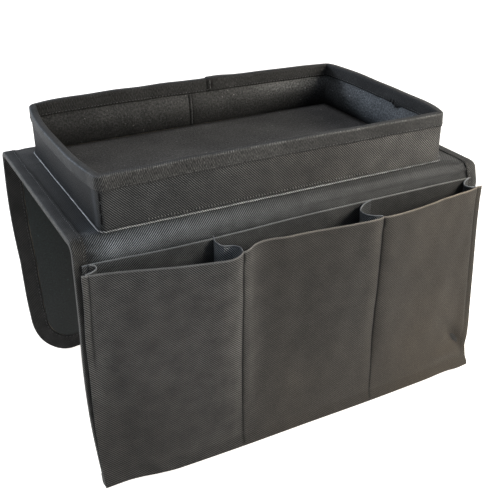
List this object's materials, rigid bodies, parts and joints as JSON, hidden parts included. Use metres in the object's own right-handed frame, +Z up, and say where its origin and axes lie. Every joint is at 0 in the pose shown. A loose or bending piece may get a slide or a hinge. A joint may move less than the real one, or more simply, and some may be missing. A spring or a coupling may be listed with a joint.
{
  "type": "sofa organizer",
  "caption": "Cloth armrest organizer with a shallow boarded tray on top and gusseted pockets on one side drop.",
  "frame": {"origin": "middle of the underside of the saddle's flat top, which lies on the sofa arm", "axes": "+X along the sofa arm to the right as seen from the pocket side, +Y from the pockets to the rear flap, +Z up"},
  "size_m": [0.3301, 0.2283, 0.227],
  "materials": {
    "twill_cloth": "matte",
    "lining_cloth": "satin",
    "binding_tape": "matte",
    "stiffener_board": "matte"
  },
  "bodies": {
    "top": {"top_cover": "twill_cloth", "top_board": "stiffener_board", "top_lining": "lining_cloth", "top_left_binding": "binding_tape", "top_right_binding": "binding_tape", "front_fold_cover": "twill_cloth", "front_fold_lining": "lining_cloth", "front_fold_left_binding": "binding_tape", "front_fold_right_binding": "binding_tape", "rear_fold_cover": "twill_cloth", "rear_fold_lining": "lining_cloth", "rear_fold_left_binding": "binding_tape", "rear_fold_right_binding": "binding_tape", "tray_front_wall_cover": "twill_cloth", "tray_front_wall_board": "stiffener_board", "tray_front_wall_lining": "lining_cloth", "tray_rear_wall_cover": "twill_cloth", "tray_rear_wall_board": "stiffener_board", "tray_rear_wall_lining": "lining_cloth", "tray_left_wall_cover": "twill_cloth", "tray_left_wall_board": "stiffener_board", "tray_left_wall_lining": "lining_cloth", "tray_right_wall_cover": "twill_cloth", "tray_right_wall_board": "stiffener_board", "tray_right_wall_lining": "lining_cloth", "tray_floor_board": "stiffener_board", "tray_floor_lining": "lining_cloth", "tray_rim_binding": "binding_tape", "tray_base_welt": "binding_tape"},
    "front_panel": {"front_drop_cover": "twill_cloth", "front_drop_board": "stiffener_board", "front_drop_lining": "lining_cloth", "front_left_binding": "binding_tape", "front_right_binding": "binding_tape", "front_hem": "twill_cloth", "pocket_back_panel": "twill_cloth", "pocket_divider_left": "twill_cloth", "pocket_divider_right": "twill_cloth", "pocket_gusset_left": "twill_cloth", "pocket_gusset_right": "twill_cloth"},
    "pocket_front": {"pocket_front_cloth": "twill_cloth"},
    "rear_flap": {"rear_flap_cover": "twill_cloth", "rear_flap_board": "stiffener_board", "rear_flap_lining": "lining_cloth", "rear_flap_binding": "binding_tape"}
  },
  "joints": [
    {"name": "front_panel_fold", "type": "hinge", "parent": "top", "child": "front_panel", "pos_m": [0, -0.088, -0.0055], "axis": [-1, 0, 0], "range_deg": [-15, 90], "deforming": ["front_fold_cover", "front_fold_lining", "front_fold_left_binding", "front_fold_right_binding"]},
    {"name": "rear_flap_fold", "type": "hinge", "parent": "top", "child": "rear_flap", "pos_m": [0, 0.088, -0.0055], "axis": [1, 0, 0], "range_deg": [-14, 96.4], "deforming": ["rear_fold_cover", "rear_fold_lining", "rear_fold_left_binding", "rear_fold_right_binding"]},
    {"name": "pocket_front_open", "type": "hinge", "parent": "front_panel", "child": "pocket_front", "pos_m": [0, -0.11819, -0.17407], "axis": [1, 0, 0], "range_deg": [-2, 6], "deforming": ["pocket_divider_left", "pocket_divider_right", "pocket_gusset_left", "pocket_gusset_right"]}
  ]
}
